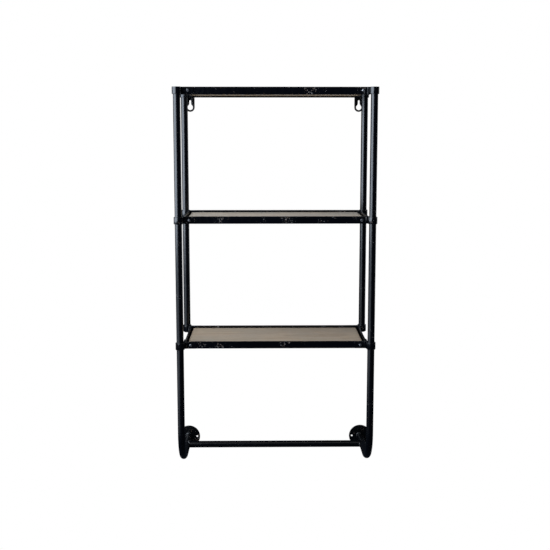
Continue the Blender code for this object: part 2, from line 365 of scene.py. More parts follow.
def makeUnevenCoat():
    # Orange peel, runs and handling marks in a coat of paint or in moulded plastic
    inputs = [("Vector", None), ("Peel Size", 0.0025)]
    group, get, put = newGroup("unevenCoat", inputs, ["Height", "Sheen", "Tone"])
    peelScale = mathOf(group, "DIVIDE", (-700, 200), 1.0, get["Peel Size"])
    stretched = stretchOf(group, (-700, -100), get["Vector"], (60.0, 60.0, 11.0))
    peel = noiseOf(group, (-500, 200), get["Vector"], peelScale, 2.0, 0.45)
    rub = noiseOf(group, (-500, -100), stretched, 2.2, 5.0, 0.6)
    tone = noiseOf(group, (-500, -350), get["Vector"], 14.0, 3.0)
    linkInto(group, put, {"Height": peel, "Sheen": rub, "Tone": tone})


def makeDust():
    # Fine dust on whatever faces up
    inputs = [("Vector", None), ("Amount", 0.3)]
    group, get, put = newGroup("dust", inputs, ["Mask"])
    normal = addNode(group, "NewGeometry", (-700, 0)).outputs["Normal"]
    up = addNode(group, "SeparateXYZ", (-500, 0), {0: normal}).outputs["Z"]
    facing = rangeOf(group, (-300, 0), up, 0.35, 1.0, smooth=True)
    spread = noiseOf(group, (-500, -250), get["Vector"], 90.0, 6.0, 0.7)
    thick = rangeOf(group, (-300, -250), spread, 0.35, 0.75)
    lying = mathOf(group, "MULTIPLY", (0, 0), facing, thick)
    linkInto(group, put, {"Mask": mathOf(group, "MULTIPLY", (300, 0), lying, get["Amount"])})


def makeWoodGrain():
    # A board sawn from beside the heart of a log that runs along X
    inputs = [
        ("Vector", None), ("Heart Side", 0.02), ("Heart Depth", 0.07), ("Ring Spacing", 0.006),
        ("Wander", 0.02),
    ]
    group, get, put = newGroup("woodGrain", inputs, ["Rings", "Fibres", "Pores", "Stain"])
    along = addNode(group, "SeparateXYZ", (-800, 200), {0: get["Vector"]})
    swayPlace = stretchOf(group, (-800, -100), get["Vector"], (0.55, 1.0, 1.0))
    fibrePlace = stretchOf(group, (-600, -350), get["Vector"], (9.0, 420.0, 420.0))
    porePlace = stretchOf(group, (-600, -600), get["Vector"], (55.0, 1100.0, 1100.0))
    sway = noiseOf(group, (-600, -100), swayPlace, 7.0, 3.0)
    fibres = noiseOf(group, (-350, -350), fibrePlace, 1.0, 5.0, 0.6)
    pores = noiseOf(group, (-350, -600), porePlace, 1.0, 2.0)
    stain = noiseOf(group, (-350, -850), swayPlace, 16.0, 5.0, 0.62)
    # How far a point lies from the heart of the log, in rings
    sideways = mathOf(group, "ADD", (-600, 300), along.outputs["Y"], get["Heart Side"])
    depth = mathOf(group, "ADD", (-600, 150), along.outputs["Z"], get["Heart Depth"])
    sidewaysSquare = mathOf(group, "MULTIPLY", (-450, 300), sideways, sideways)
    depthSquare = mathOf(group, "MULTIPLY", (-450, 150), depth, depth)
    squares = mathOf(group, "ADD", (-300, 250), sidewaysSquare, depthSquare)
    reach = mathOf(group, "SQRT", (-200, 250), squares)
    swing = mathOf(group, "SUBTRACT", (-450, 0), sway, 0.5)
    drift = mathOf(group, "MULTIPLY", (-300, 0), swing, get["Wander"])
    wandered = mathOf(group, "ADD", (-100, 250), reach, drift)
    turns = mathOf(group, "DIVIDE", (0, 250), wandered, get["Ring Spacing"])
    ring = mathOf(group, "FRACT", (100, 250), turns)
    lateWood = rangeOf(group, (250, 350), ring, 0.35, 0.93, smooth=True)
    edge = rangeOf(group, (250, 150), ring, 0.94, 1.0, 1.0, 0.0)
    rings = mathOf(group, "MULTIPLY", (450, 250), lateWood, edge)
    openPores = rangeOf(group, (100, -600), pores, 0.60, 0.72)
    linkInto(group, put, {"Rings": rings, "Fibres": fibres, "Pores": openPores, "Stain": stain})


def edgesOf(tree, at, place, values):
    inputs = {"Vector": place, "Amount": values["edges"]}
    inputs.update({"Width": values["edgeWidth"], "Break Size": values["breakSize"]})
    return useGroup(tree, "edgeWear", at, inputs)["Mask"]


def chipsOf(tree, at, place, amount, values):
    inputs = {"Vector": place, "Amount": amount}
    inputs.update({"Size": values["chipSize"], "Patch Size": values["patches"]})
    return useGroup(tree, "paintChips", at, inputs)["Mask"]


def dustOf(tree, at, place, values):
    return useGroup(tree, "dust", at, {"Vector": place, "Amount": values["dust"]})["Mask"]


makePaintChips()
makeEdgeWear()
makeUnevenCoat()
makeDust()
makeWoodGrain()


# Finishes

paints = {
    # The paint's colour, roughness and peel, then how worn it is. lowChips adds chips towards the bends.
    "tubePaint": {
        "colour": (0.0007, 0.0009, 0.0017), "roughness": 0.21, "peel": 0.0030,
        "chipSize": 0.0026, "chips": 0.34, "lowChips": 0.26, "patches": 0.050, "edges": 0.25, "dust": 0.03,
    },
    "barPaint": {
        "colour": (0.0007, 0.0009, 0.0017), "roughness": 0.21, "peel": 0.0020,
        "chipSize": 0.0018, "chips": 0.25, "lowChips": 0.0, "patches": 0.040, "edges": 0.25, "dust": 0.0,
    },
    "railPaint": {
        "colour": (0.0006, 0.0009, 0.0018), "roughness": 0.17, "peel": 0.0022,
        "chipSize": 0.0036, "chips": 0.64, "lowChips": 0.0, "patches": 0.036, "edges": 0.86, "dust": 0.10,
    },
    "bracketPaint": {
        "colour": (0.0009, 0.0011, 0.0019), "roughness": 0.19, "peel": 0.0020,
        "chipSize": 0.0028, "chips": 0.60, "lowChips": 0.0, "patches": 0.020, "edges": 0.86, "dust": 0.10,
    },
    "platePaint": {
        "colour": (0.0006, 0.0007, 0.0011), "roughness": 0.26, "peel": 0.0014,
        "chipSize": 0.0020, "chips": 0.66, "lowChips": 0.0, "patches": 0.015, "edges": 0.50, "dust": 0.03,
    },
}
wear = {
    "bareSteel": (0.235, 0.230, 0.225), "oldRust": (0.110, 0.062, 0.036), "dustTone": (0.200, 0.190, 0.175),
    "rustScale": 260.0, "edgeWidth": 1.1 * mm, "breakSize": 3.4 * mm,
    "knockedHeight": 0.16,        # how far above the returns the posts are knocked more
    "chipDepth": 0.55, "peelHeight": 0.30,
}
hardware = {
    # Blackened screws rubbed bright on the crown, and moulded plugs
    "screwSteel": {
        "dark": (0.060, 0.062, 0.070), "light": (0.120, 0.122, 0.130), "rubbed": (0.520, 0.520, 0.530),
        "metallic": (0.70, 1.0), "roughness": (0.30, 0.46), "peel": 0.9 * mm, "relief": (0.25, 0.1 * mm),
        "chipSize": 1.0 * mm, "chips": 1.5, "patches": 4 * mm,
        "edgeWidth": 0.7 * mm, "edges": 1.1, "breakSize": 1.2 * mm, "dust": 0.0,
    },
    "plugPlastic": {
        "dark": (0.0095, 0.0100, 0.0130), "light": (0.0170, 0.0180, 0.0220), "rubbed": (0.075, 0.076, 0.080),
        "roughness": (0.42, 0.58), "peel": 0.5 * mm, "relief": (0.4, 0.12 * mm),
        "edgeWidth": 0.8 * mm, "edges": 0.45, "breakSize": 2.0 * mm, "dust": 0.22,
    },
}


def paintFinish(name, values):
    material, tree, shader, place = newMaterial(name)
    height = addNode(tree, "SeparateXYZ", (-1400, -200), {0: place}).outputs["Z"]
    knockedTop, most = returnZ + wear["knockedHeight"], values["chips"] + values["lowChips"]
    amount = rangeOf(tree, (-1250, -200), height, knockedTop, returnZ, values["chips"], most)
    coat = useGroup(tree, "unevenCoat", (-1100, 300), {"Vector": place, "Peel Size": values["peel"]})
    chips = chipsOf(tree, (-1100, 0), place, amount, values)
    edges = edgesOf(tree, (-1100, -300), place, {**wear, **values})
    dust = dustOf(tree, (-1100, -600), place, values)
    bare = mathOf(tree, "MAXIMUM", (-800, -150), chips, edges)
    rusty = noiseOf(tree, (-900, -850), place, wear["rustScale"], 3.0)
    rust = rangeOf(tree, (-700, -850), rusty, 0.40, 0.62)
    metal = blendOf(tree, (-500, -700), rust, wear["bareSteel"], wear["oldRust"])
    deep = tuple(0.72 * c for c in values["colour"])
    bright = tuple(1.35 * c for c in values["colour"])
    toned = blendOf(tree, (-500, 300), rangeOf(tree, (-700, 300), coat["Tone"], 0.3, 0.7), deep, bright)
    painted = blendOf(tree, (-200, 200), bare, toned, metal)
    colour = blendOf(tree, (100, 200), dust, painted, wear["dustTone"])
    smoothest, roughest = values["roughness"] - 0.03, values["roughness"] + 0.05
    sheen = rangeOf(tree, (-500, 50), coat["Sheen"], 0.3, 0.7, smoothest, roughest)
    rough = mathOf(tree, "ADD", (100, 0), sheen, mathOf(tree, "MULTIPLY", (-100, 0), bare, 0.16))
    dusty = mathOf(tree, "ADD", (300, 0), rough, mathOf(tree, "MULTIPLY", (200, -100), dust, 0.5))
    depth = mathOf(tree, "MULTIPLY", (100, -300), bare, -wear["chipDepth"])
    peel = mathOf(tree, "MULTIPLY", (100, -450), coat["Height"], wear["peelHeight"])
    metallic = mathOf(tree, "MULTIPLY", (300, 150), bare, 0.45)
    relief = reliefOf(tree, mathOf(tree, "ADD", (300, -300), peel, depth), 0.5, 0.22 * mm)
    linkInto(tree, shader, {"Base Color": colour, "Roughness": dusty})
    linkInto(tree, shader, {"Metallic": metallic, "Normal": relief})
    return material


def hardwareFinish(name, values):
    material, tree, shader, place = newMaterial(name)
    coat = useGroup(tree, "unevenCoat", (-1100, 400), {"Vector": place, "Peel Size": values["peel"]})
    bare = edgesOf(tree, (-1100, -200), place, values)
    if "metallic" in values:
        chips = chipsOf(tree, (-1100, 100), place, values["chips"], values)
        bare = mathOf(tree, "MAXIMUM", (-700, 0), chips, bare)
        metallic = rangeOf(tree, (-400, -200), bare, 0.0, 1.0, *values["metallic"])
        linkInto(tree, shader, {"Metallic": metallic})
    base = blendOf(tree, (-400, 300), coat["Tone"], values["dark"], values["light"])
    colour = blendOf(tree, (-100, 200), bare, base, values["rubbed"])
    if values["dust"]:
        dust = dustOf(tree, (-1100, -500), place, values)
        colour = blendOf(tree, (200, 200), dust, colour, wear["dustTone"])
    rough = rangeOf(tree, (-400, 0), coat["Sheen"], 0.3, 0.7, *values["roughness"])
    relief = reliefOf(tree, coat["Height"], *values["relief"])
    linkInto(tree, shader, {"Base Color": colour, "Roughness": rough, "Normal": relief})
    return material


woods = {
    # where the heart of the log lies beside and under each board, in metres, and each board's tint, which is
    # painted light: a painted sheen on the middle board and painted shade on the bottom one
    "top": {"heartSide": 0.031, "heartDepth": 0.082, "ringSpacing": 0.0068, "offset": 0.37,
            "paintedLightTint": (1.00, 1.00, 1.00)},
    # the middle board is tinted lighter and bluer: a painted sheen
    "middle": {"heartSide": -0.046, "heartDepth": 0.058, "ringSpacing": 0.0061, "offset": 1.21,
               "paintedLightTint": (1.01, 1.06, 1.16)},
    # the bottom board is tinted darker and warmer: painted shade
    "bottom": {"heartSide": 0.012, "heartDepth": 0.094, "ringSpacing": 0.0074, "offset": 2.63,
               "paintedLightTint": (0.79, 0.75, 0.71)},
}
woodWear = {
    "wander": 30 * mm, "dust": 0.10, "dustTone": (0.420, 0.400, 0.370),
    "edgeWidth": 1.4 * mm, "edges": 1.0, "breakSize": 6.0 * mm,
}
woodTones = {
    "early": (0.400, 0.305, 0.205),
    "late": (0.285, 0.208, 0.131),
    "pore": (0.115, 0.082, 0.053),
    "grey": (0.320, 0.270, 0.205),
}


def woodFinish(shelf, values):
    material, tree, shader, place = newMaterial(shelf + "BoardWood")
    # the wood's tones times the board's tint, which carries the middle board's painted sheen and the bottom
    # board's painted shade
    tones = {
        name: tuple(c * t for c, t in zip(tone, values["paintedLightTint"])) for name, tone in woodTones.items()
    }
    centre = sum(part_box(shelf + "_board"), Vector()) / 2
    local = addNode(tree, "Mapping", (-1200, 0), {
        "Vector": place, "Location": (values["offset"] - centre.x, -centre.y, -centre.z)}).outputs[0]
    grain = useGroup(tree, "woodGrain", (-1000, 200), {
        "Vector": local, "Heart Side": values["heartSide"], "Heart Depth": values["heartDepth"],
        "Ring Spacing": values["ringSpacing"], "Wander": woodWear["wander"]})
    dust = dustOf(tree, (-1000, -300), place, woodWear)
    edges = edgesOf(tree, (-1000, -550), place, woodWear)
    swing = mathOf(tree, "SUBTRACT", (-800, 0), grain["Fibres"], 0.5)
    streak = mathOf(tree, "MULTIPLY", (-700, 0), swing, 0.9)
    rings = mathOf(tree, "MULTIPLY", (-700, 200), grain["Rings"], 0.62)
    late = mathOf(tree, "ADD", (-550, 150), rings, streak)
    lateness = addNode(tree, "Clamp", (-400, 200), {"Value": late}).outputs[0]
    greyness = rangeOf(tree, (-300, -50), grain["Stain"], 0.42, 0.70, 0.0, 0.75)
    openPores = mathOf(tree, "MULTIPLY", (0, 0), grain["Pores"], 0.55)
    soil = mathOf(tree, "MULTIPLY", (200, 0), edges, 0.45)
    wood = blendOf(tree, (-200, 200), lateness, tones["early"], tones["late"])
    aged = blendOf(tree, (0, 200), greyness, wood, tones["grey"])
    porous = blendOf(tree, (200, 200), openPores, aged, tones["pore"])
    soiled = blendOf(tree, (400, 200), soil, porous, tones["pore"])
    colour = blendOf(tree, (600, 200), dust, soiled, woodWear["dustTone"])
    rough = rangeOf(tree, (200, -150), grain["Fibres"], 0.3, 0.7, 0.58, 0.72)
    fibreHeight = mathOf(tree, "MULTIPLY", (0, -300), grain["Fibres"], 0.6)
    ringHeight = mathOf(tree, "MULTIPLY", (0, -450), grain["Rings"], 0.5)
    raised = mathOf(tree, "ADD", (200, -300), fibreHeight, ringHeight)
    relief = reliefOf(tree, mathOf(tree, "SUBTRACT", (400, -300), raised, grain["Pores"]), 0.55, 0.25 * mm)
    linkInto(tree, shader, {"Base Color": colour, "Roughness": rough, "Normal": relief})
    shader.inputs["Specular IOR Level"].default_value = 0.35
    return material


finishes = {name: paintFinish(name, values) for name, values in paints.items()}
finishes.update({name: hardwareFinish(name, values) for name, values in hardware.items()})
finishes.update({shelf + "Wood": woodFinish(shelf, woods[shelf]) for shelf in shelves})
print("finishes mixed:", len(finishes))


# Posts

posts = {
    "wall": 1.5 * mm,
    "bendRadius": 78 * mm,
    "bendSteps": 36,
    "lip": 0.3 * mm,        # how far the tube's ends are rounded
    "roundness": 72,
}


def tubeMesh(stations):
    # stations are (point, direction) along the centreline, which keeps to one X
    inner, lip = tubeRadius - posts["wall"], posts["lip"]
    first, last = stations[0], stations[-1]
    outside = [
        (first[0], first[1], tubeRadius - lip),
        (first[0] + first[1] * lip, first[1], tubeRadius),
        *[(point, direction, tubeRadius) for point, direction in stations[1:-1]],
        (last[0] - last[1] * lip, last[1], tubeRadius),
        (last[0], last[1], tubeRadius - lip),
    ]
    inside = [(point, direction, inner) for point, direction in reversed(stations)]
    bm = bmesh.new()
    rings = [
        ringAt(bm, point, rightward, direction.cross(rightward), radius, posts["roundness"])
        for point, direction, radius in outside + inside
    ]
    skin(bm, rings, closed=True)
    return bm


def frontStations(x, top, wallEnd):
    bend = posts["bendRadius"]
    stations = [(Vector((x, rowY["front"], top)), -upward)]
    for turn in quarterTurn(posts["bendSteps"]):
        y = rowY["front"] + bend * (1 - cos(turn))
        z = returnZ + bend * (1 - sin(turn))
        stations.append((Vector((x, y, z)), inward * sin(turn) - upward * cos(turn)))
    stations.append((Vector((x, wallEnd, returnZ)), inward))
    return stations


def makePosts():
    for where, sign in sides.items():
        for row in rows:
            low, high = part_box(f"{row}_post_{where}")
            x = sign * postX
            if row == "front":
                stations = frontStations(x, high.z, high.y)
            else:
                heights = (high.z, (high.z + low.z) / 2, low.z)
                stations = [(Vector((x, rowY["back"], z)), -upward) for z in heights]
            addPiece(f"postTube_{row}_{where}", tubeMesh(stations), finishes["tubePaint"],
                     [f"{row}_post_{where}"])


makePosts()
print("posts bent")


# Welds

welds = {
    "size": 1.5 * mm, "ripple": 0.13, "pitch": 1.6 * mm, "roundness": 12,
    "uneven": 0.12, "unevenScale": 400, "endTaper": 0.45,
}


def beadMesh(points, axis, size, closed):
    # A bead of overlapping puddles along the points. The axis is never in line with the bead.
    bm = bmesh.new()
    rings = []
    travelled = 0.0
    count = len(points)
    for i, here in enumerate(points):
        ahead = points[(i + 1) % count] if closed or i + 1 < count else here
        behind = points[i - 1] if closed or i else here
        along = (ahead - behind).normalized()
        across = along.cross(axis).normalized()
        travelled += (here - behind).length if i else 0.0
        wave = abs(sin(pi * travelled / welds["pitch"]))
        uneven = welds["uneven"] * noise.noise(here * welds["unevenScale"])
        swell = 1 + welds["ripple"] * (wave - 0.5) + uneven
        if not closed and i in (0, count - 1):
            swell *= welds["endTaper"]
        rings.append(ringAt(bm, here, across, along.cross(across), size * swell, welds["roundness"]))
    skin(bm, rings, closed, capped=not closed)
    return bm


# Towel rail

towelRail = {"roundness": 72, "beadPoints": 110}


def copedPoint(sign, y, angle, radius):
    # On the towel rail's wall, where it meets the return it is welded to
    rise = radius * sin(angle)
    reach = sqrt(max(0.0, (tubeRadius + seamGap) ** 2 - rise ** 2))
    return Vector((sign * (postX - reach), y + radius * cos(angle), returnZ + rise))


def makeTowelRail():
    low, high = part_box("towel_rail")
    y = (low.y + high.y) / 2
    bm = bmesh.new()
    rings = []
    turns = fullTurn(towelRail["roundness"])
    outer, inner = tubeRadius, tubeRadius - posts["wall"]
    for sign, radius in ((-1, outer), (1, outer), (1, inner), (-1, inner)):
        rings.append([bm.verts.new(copedPoint(sign, y, t, radius)) for t in turns])
    skin(bm, rings, closed=True)
    addPiece("towelRail", bm, finishes["barPaint"], ["towel_rail"])
    for where, sign in sides.items():
        points = [copedPoint(sign, y, t, tubeRadius) for t in fullTurn(towelRail["beadPoints"])]
        bm = beadMesh(points, rightward, welds["size"], True)
        addPiece(f"towelRailWeld_{where}", bm, finishes["barPaint"])


makeTowelRail()
print("towel rail welded on")


# Wall flanges

flanges = {
    "edge": 0.8 * mm, "holeRadius": 2.25 * mm, "holeReach": 20.4 * mm,
    "roundness": 120, "holeRoundness": 40, "beadPoints": 90,
    "beadShare": 1.25,        # of the welds' size
}


def flangeMesh(low, high):
    radius = (high.x - low.x) / 2
    thickness = high.y - low.y
    holes = [
        circlePoints(reach, flanges["holeRadius"], flanges["holeRoundness"])
        for reach in (-flanges["holeReach"], flanges["holeReach"])
    ]
    outline = circlePoints(0.0, radius, flanges["roundness"])
    return plate(outline, holes, thickness, flanges["edge"], edgeSteps=4)


def makeFlanges():
    for where, sign in sides.items():
        low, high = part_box(f"wall_flange_{where}")
        at = placed(sign * postX, high.y, returnZ, pi / 2, "X")
        addPiece(f"wallFlange_{where}", flangeMesh(low, high), finishes["platePaint"],
                 [f"wall_flange_{where}"], at=at)
        points = [
            Vector((p.x, low.y - seamGap, returnZ + p.y))
            for p in circlePoints(sign * postX, tubeRadius, flanges["beadPoints"])
        ]
        bm = beadMesh(points, inward, flanges["beadShare"] * welds["size"], True)
        addPiece(f"flangeWeld_{where}", bm, finishes["platePaint"])


makeFlanges()
print("flanges pressed")


# Hanger plates

hangers = {
    "edge": 0.45 * mm, "corner": 2 * mm, "keyholeDrop": 36.9 * mm, "keyholeRadius": 6.4 * mm,
    "slot": 4.2 * mm, "slotRise": 15 * mm, "fillet": 8 * mm,
    "beadShare": 0.9, "beadStep": 0.4 * mm, "beadInset": 0.2 * mm,
}


def keyholeOutline():
    halfSlot = hangers["slot"] / 2
    fillet, radius = hangers["fillet"], hangers["keyholeRadius"]
    x = halfSlot + fillet
    y = sqrt((radius + fillet) ** 2 - x ** 2)
    leave = atan2(y, x)
    points = arcPoints((0.0, 0.0), radius, pi - leave, 2 * pi + leave, 44)
    points += arcPoints((x, y), fillet, pi + leave, pi, 8)[1:]
    points += arcPoints((0.0, hangers["slotRise"]), halfSlot, 0.0, pi, 16)
    points += arcPoints((-x, y), fillet, 0.0, -leave, 8)[:-1]
    return points


def makeHangers():
    for where in sides:
        low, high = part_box(f"hanger_plate_{where}")
        half = (high.x - low.x) / 2
        top, corner = hangers["keyholeDrop"], hangers["corner"]
        outline = [*arcPoints((0.0, 0.0), half, pi, 2 * pi, 40)]
        outline += arcPoints((half - corner, top - corner), corner, 0.0, pi / 2, 6)
        outline += arcPoints((corner - half, top - corner), corner, pi / 2, pi, 6)
        bm = plate(outline, [keyholeOutline()], high.y - low.y, hangers["edge"])
        at = placed((low.x + high.x) / 2, high.y, high.z - top, pi / 2, "X")
        addPiece(f"hangerPlate_{where}", bm, finishes["platePaint"],
                 [f"hanger_plate_{where}"], at=at)
        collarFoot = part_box(f"top_bracket_back_{where}")[0].z
        outside = high.x if where == "right" else low.x
        step, y = hangers["beadStep"], low.y - hangers["beadInset"]
        count = int((high.z - collarFoot) / step)
        points = [Vector((outside, y, collarFoot + i * step)) for i in range(count)]
        bm = beadMesh(points, inward, hangers["beadShare"] * welds["size"], False)
        addPiece(f"hangerWeld_{where}", bm, finishes["platePaint"])


makeHangers()
print("hanger plates cut")


# Shelf frames

rails = {
    "legThickness": 3.5 * mm,
    "ledgeWidth": 15 * mm,
    "ledgeThickness": 3 * mm,
    "mitreChamfer": 0.35 * mm,
    "stations": 24,
    "heel": 1.1 * mm, "root": 1.4 * mm,        # rounding outside and inside the angle
    "ledgeTip": (0.5 * mm, 0.8 * mm), "legTip": (0.6 * mm, 0.8 * mm),
    "waver": 0.07 * mm,        # how far a rail's faces stray from flat
    "waverAlong": 18, "waverAcross": 40, "waverSeed": 7,
}


def railOutline(height):
    # (depth from the outer face, height), seen with the outer face on the left
    leg, ledge, thick = rails["legThickness"], rails["ledgeWidth"], rails["ledgeThickness"]
    ledgeTip, legTip = rails["ledgeTip"], rails["legTip"]
    return roundedOutline([
        (0.0, -height, rails["heel"]), (ledge, -height, ledgeTip[0]), (ledge, thick - height, ledgeTip[1]),
        (leg, thick - height, rails["root"]), (leg, 0.0, legTip[0]), (0.0, 0.0, legTip[1]),
    ])


def railMesh(halfLength, height, seed):
    outline = railOutline(height)
    shrunk = offsetLoop(outline, rails["mitreChamfer"])
    count = rails["stations"]
    along, across = rails["waverAlong"], rails["waverAcross"]
    bm = bmesh.new()
    rings = []
    for i in range(-1, count + 2):
        share = min(1.0, max(0.0, i / count)) * 2 - 1
        atEnd = i in (-1, count + 1)
        pull = 0.0 if atEnd else rails["mitreChamfer"]
        ring = []
        for p in shrunk if atEnd else outline:
            x = share * (halfLength - p.x - seamGap - pull)
            spot = Vector((x * along, p.y * across + seed, p.x * across))
            stray = noise.noise_vector(spot) * rails["waver"]
            ring.append(bm.verts.new((x, p.x + abs(stray.y), p.y - abs(stray.z))))
        rings.append(ring)
    skin(bm, rings, capped=True)
    return bm


def makeShelfFrame(shelf):
    boxes = {side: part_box(f"{shelf}_rail_{side}") for side in ("front", "right", "back", "left")}
    rim = boxes["front"][1].z
    height = rim - boxes["front"][0].z
    frontFace, backFace = boxes["front"][0].y, boxes["back"][1].y
    frameX = boxes["right"][1].x
    middleY, halfDepth = (frontFace + backFace) / 2, (backFace - frontFace) / 2
    layout = {
        "front": (frameX, 0.0, 0.0, frontFace),
        "right": (halfDepth, pi / 2, frameX, middleY),
        "back": (frameX, pi, 0.0, backFace),
        "left": (halfDepth, -pi / 2, -frameX, middleY),
    }
    for number, (side, (halfLength, turn, x, y)) in enumerate(layout.items()):
        seed = 10 * number + 3 * shelves.index(shelf)
        bm = railMesh(halfLength, height, seed)
        bmesh.ops.transform(bm, verts=bm.verts, matrix=placed(x, y, rim, turn, "Z"))
        addPiece(f"{shelf}Rail_{side}", bm, finishes["railPaint"], [f"{shelf}_rail_{side}"])


noise.seed_set(rails["waverSeed"])        # vector noise would otherwise start from the clock
for shelf in shelves:
    makeShelfFrame(shelf)
print("shelf frames mitred")


# Boards

boards = {
    "edge": 1.0 * mm, "edgeSteps": 3, "alongStep": 5 * mm, "acrossStep": 1.6 * mm,
    "cup": 0.25 * mm, "cupWave": 3, "cupVary": 0.4,
    "ripple": 0.07 * mm, "rippleAlong": 9, "rippleAcross": 170,
    "underside": 0.3, "leastEdge": 0.05 * mm,
}


def boardRing(halfWidth, low, high, inset):
    # Points round the board's section, counter-clockwise from its upper right
    steps = boards["edgeSteps"]
    bottom, top = low + inset, high - inset
    edge = max(boards["leastEdge"], boards["edge"] - inset)
    side = halfWidth - inset - edge
    count = ceil(2 * halfWidth / boards["acrossStep"])
    flat = [side * (2 * i / count - 1) for i in range(count + 1)]
    points = [Vector((y, top)) for y in reversed(flat)]
    points += arcPoints((-side, top - edge), edge, pi / 2, pi, steps)[1:]
    points += arcPoints((-side, bottom + edge), edge, pi, 1.5 * pi, steps)
    points += [Vector((y, bottom)) for y in flat[1:-1]]
    points += arcPoints((side, bottom + edge), edge, -pi / 2, 0.0, steps)
    points += arcPoints((side, top - edge), edge, 0.0, pi / 2, steps)[:-1]
    return points


def makeBoard(shelf):
    low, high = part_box(f"{shelf}_board")
    middle = (low + high) / 2
    halfLength, halfWidth = (high.x - low.x) / 2, (high.y - low.y) / 2
    edge, turns = boards["edge"], quarterTurn(boards["edgeSteps"])
    ends = [(halfLength - edge * (1 - sin(t)), edge * (1 - cos(t))) for t in turns]
    count = ceil(2 * (halfLength - edge) / boards["alongStep"])
    flat = [(halfLength - edge) * (2 * i / count - 1) for i in range(1, count)]
    stations = [(-x, inset) for x, inset in reversed(ends)] + [(x, 0.0) for x in flat] + ends
    vary, wave = boards["cupVary"], boards["cupWave"]
    along, across = boards["rippleAlong"], boards["rippleAcross"]
    phase, seed = middle.z * 20, middle.z * 50        # so that no two boards are alike
    bm = bmesh.new()
    rings = []
    for x, inset in stations:
        ring = []
        depth = boards["cup"] * (1 - vary + vary * cos(wave * x + phase))
        for p in boardRing(halfWidth, low.z, high.z, inset):
            side = p.x / halfWidth
            cup = depth * (side * side - 1)
            ripple = boards["ripple"] * noise.noise(Vector((x * along, p.x * across, seed)))
            lift = (cup + ripple) if p.y > middle.z else boards["underside"] * ripple
            ring.append(bm.verts.new((middle.x + x, middle.y + p.x, p.y + lift)))
        rings.append(ring)
    skin(bm, rings, capped=True)
    addPiece(f"{shelf}Board", bm, finishes[shelf + "Wood"], [f"{shelf}_board"], crease=50.0)


for shelf in shelves:
    makeBoard(shelf)
print("boards laid in")


# Corner brackets

brackets = {
    "bore": 8.2 * mm, "collar": 10.3 * mm, "tabInner": 8.5 * mm, "tabOuter": 6.5 * mm,
    "earOuter": 5.6 * mm,        # the thicker stretch beside the collar
    "earReach": 14.6 * mm, "tabReach": 36.5 * mm, "tabCorner": 2.2 * mm,
    "edge": 0.35 * mm, "innerBend": 1.2 * mm, "roundness": 72,
}


def bracketOutline():
    collar, ear, outer, inner = (brackets[key] for key in ("collar", "earOuter", "tabOuter", "tabInner"))
    reach, step, corner, bend = (brackets[key] for key in ("tabReach", "earReach", "tabCorner", "innerBend"))
    start = atan2(sqrt(collar ** 2 - ear ** 2), ear)
    # Out along the ear, down its pressed step, and along the tab's outer face to its rounded end
    pressed = [(-0.9 * mm, ear), (-0.45 * mm, ear + 0.12 * mm), (-0.15 * mm, ear + 0.45 * mm),
               (0.0, outer - 0.1 * mm), (0.3 * mm, outer)]
    tail = [reach - corner * (1 - cos(t)) for t in reversed(quarterTurn(6)[1:])]
    along = [Vector((step + x, y)) for x, y in pressed] + [Vector((x, outer)) for x in tail]
    along += [Vector((reach, outer + 0.02 * mm)), Vector((reach, inner - 0.02 * mm))]
    # Back along the inner face to half of the bend between the two tabs
    along += [Vector((x, inner)) for x in reversed(tail)]
    along += arcPoints((inner + bend, inner + bend), bend, -pi / 2, -pi, 5)[:3]
    mirrored = [Vector((p.y, p.x)) for p in reversed(along)]
    return arcPoints((0.0, 0.0), collar, start, 2.5 * pi - start, 90) + along + mirrored


def bracketMesh(height):
    bore = circlePoints(0.0, brackets["bore"], brackets["roundness"])
    bm = plate(bracketOutline(), [bore], height, brackets["edge"])
    corner, half = brackets["tabCorner"], height / 2
    start = brackets["tabReach"] - corner
    for v in bm.verts:
        past = (max(v.co.x, v.co.y) - start) / corner
        if past > 0:
            limit = 1 - (corner / half) * (1 - sqrt(max(0.0, 1 - min(1.0, past) ** 2)))
            v.co.z = half + (v.co.z - half) * limit
    return bm


def makeBrackets(shelf):
    corners = [("front", "left"), ("front", "right"), ("back", "right"), ("back", "left")]
    for quarter, (row, where) in enumerate(corners):
        node = f"{shelf}_bracket_{row}_{where}"
        low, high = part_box(node)
        bm = bracketMesh(high.z - low.z)
        at = placed(sides[where] * postX, rowY[row], low.z, quarter * pi / 2, "Z")
        bmesh.ops.transform(bm, verts=bm.verts, matrix=at)
        addPiece(f"{shelf}Bracket_{row}_{where}", bm, finishes["bracketPaint"], [node])


for shelf in shelves:
    makeBrackets(shelf)
print("corner brackets fitted")


# Screws

screws = {
    "head": 3.3 * mm, "headHeight": 2.2 * mm, "shank": 1.7 * mm, "length": 8 * mm,
    "threadPitch": 0.9 * mm, "threadDepth": 0.32 * mm,
    "recessReach": 1.75 * mm, "recessWidth": 0.75 * mm, "recessDepth": 1.2 * mm,
    "roundness": 48, "threadSteps": 44,
    "neckShare": 0.82, "crownShare": 0.38, "sideShare": 0.35, "flatShare": 0.3,
    "turn": 67,        # degrees from one screw's recess to the next one's
}


def screwBlank():
    head, high, shank, length = (screws[key] for key in ("head", "headHeight", "shank", "length"))
    tip, neck, count = 0.7 * shank, screws["neckShare"] * shank, screws["threadSteps"]
    crown, side = screws["crownShare"], screws["sideShare"]
    profile = [(0.0, -length), (0.5 * shank, -length), (shank, tip - length)]
    profile += [(shank, tip - length + (length - 0.9 * shank) * i / count) for i in range(1, count)]
    profile += [(neck, -0.15 * mm), (neck, 0.0), (head - 0.12 * mm, 0.0)]
    profile += [
        (head * (1 - crown + crown * cos(t)), high * (side + (1 - side) * sin(t))) for t in quarterTurn(7)
    ]
    profile += [(screws["flatShare"] * head, high), (0.0, high)]
    return turned(profile, screws["roundness"], screws["threadPitch"], screws["threadDepth"])


